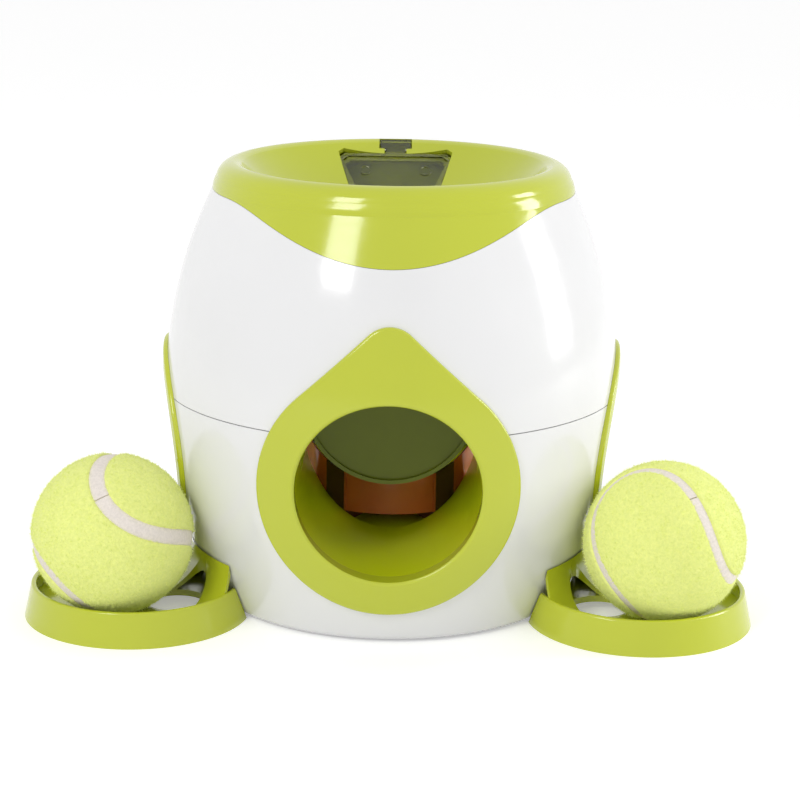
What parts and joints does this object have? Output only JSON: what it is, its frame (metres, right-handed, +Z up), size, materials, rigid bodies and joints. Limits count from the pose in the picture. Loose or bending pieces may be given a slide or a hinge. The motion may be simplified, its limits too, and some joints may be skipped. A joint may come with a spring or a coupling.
{
  "type": "dog ball and treat dispenser",
  "caption": "Barrel-shaped pet toy: a ball dropped in the top funnel rolls out into a ring tray at a side and treats fall in the front outlet.",
  "frame": {"origin": "on the ground under the middle of the barrel body", "axes": "+Z up, -Y towards the front outlet, +X to the right seen from the front"},
  "size_m": [0.2992, 0.1903, 0.182],
  "materials": {
    "white_shell": "glossy white ABS",
    "green_plastic": "glossy lime-green ABS",
    "green_inner": "glossy green ABS, inner mouldings",
    "smoked_clear": "smoked clear plastic, polished",
    "red_clear": "translucent red-brown plastic",
    "gear_plastic": "natural acetal",
    "dark_wheel": "dark red-brown plastic",
    "steel": "bright plated steel",
    "brass": "sintered bronze",
    "rubber": "matt black rubber",
    "ball_rubber": "moulded rubber",
    "felt": "fluffy yellow-green felt"
  },
  "bodies": {
    "housing": {"lower_housing": "white_shell", "upper_housing": "white_shell", "top_funnel": "green_plastic", "front_bezel": "green_plastic", "left_bezel": "green_plastic", "right_bezel": "green_plastic", "treat_chute": "green_inner", "right_ball_ramp": "green_inner", "left_ball_ramp": "green_inner", "treat_hopper": "green_inner", "wheel_guard": "red_clear", "wheel_cover": "green_inner", "wheel_axle": "steel", "cradle_bush": "brass", "base_cover": "white_shell", "rubber_feet": "rubber", "lid_hinge_pin": "steel", "shell_screws": "steel", "base_screws": "steel", "funnel_screws": "steel", "chute_screws": "steel", "hopper_screws": "steel"},
    "cradle": {"ball_cradle": "green_inner", "cradle_axle": "steel", "sector_gear": "gear_plastic"},
    "wheel": {"treat_wheel": "dark_wheel", "crown_gear": "gear_plastic"},
    "lid": {"hopper_lid": "smoked_clear"},
    "right_tray": {"right_tray": "green_plastic"},
    "left_tray": {"left_tray": "green_plastic"},
    "right_ball": {"right_ball_core": "ball_rubber", "right_ball_felt": "felt"},
    "left_ball": {"left_ball_core": "ball_rubber", "left_ball_felt": "felt"}
  },
  "joints": [
    {"name": "cradle_tip", "type": "hinge", "parent": "housing", "child": "cradle", "pos_m": [0, 0, 0.078], "axis": [0, 1, 0], "range_deg": [-45, 45]},
    {"name": "wheel_turn", "type": "hinge", "parent": "housing", "child": "wheel", "pos_m": [0, 0.022, 0.04], "axis": [0, 0, 1], "range_deg": [-72, 72]},
    {"name": "lid_hinge", "type": "hinge", "parent": "housing", "child": "lid", "pos_m": [0, 0.04118, 0.15794], "axis": [1, 0, 0], "range_deg": [0, 95]},
    {"name": "right_tray_pull", "type": "slide", "parent": "housing", "child": "right_tray", "axis": [1, 0, 0], "range_m": [0, 0.03]},
    {"name": "left_tray_pull", "type": "slide", "parent": "housing", "child": "left_tray", "axis": [-1, 0, 0], "range_m": [0, 0.03]},
    {"name": "right_ball_lift", "type": "slide", "parent": "right_tray", "child": "right_ball", "axis": [0.4473, -0.2234, 0.866], "range_m": [0, 0.07]},
    {"name": "left_ball_lift", "type": "slide", "parent": "left_tray", "child": "left_ball", "axis": [-0.4473, -0.2234, 0.866], "range_m": [0, 0.07]}
  ],
  "couplings": [
    {"joint": "wheel_turn", "follows": "cradle_tip", "ratio": 1.6}
  ]
}
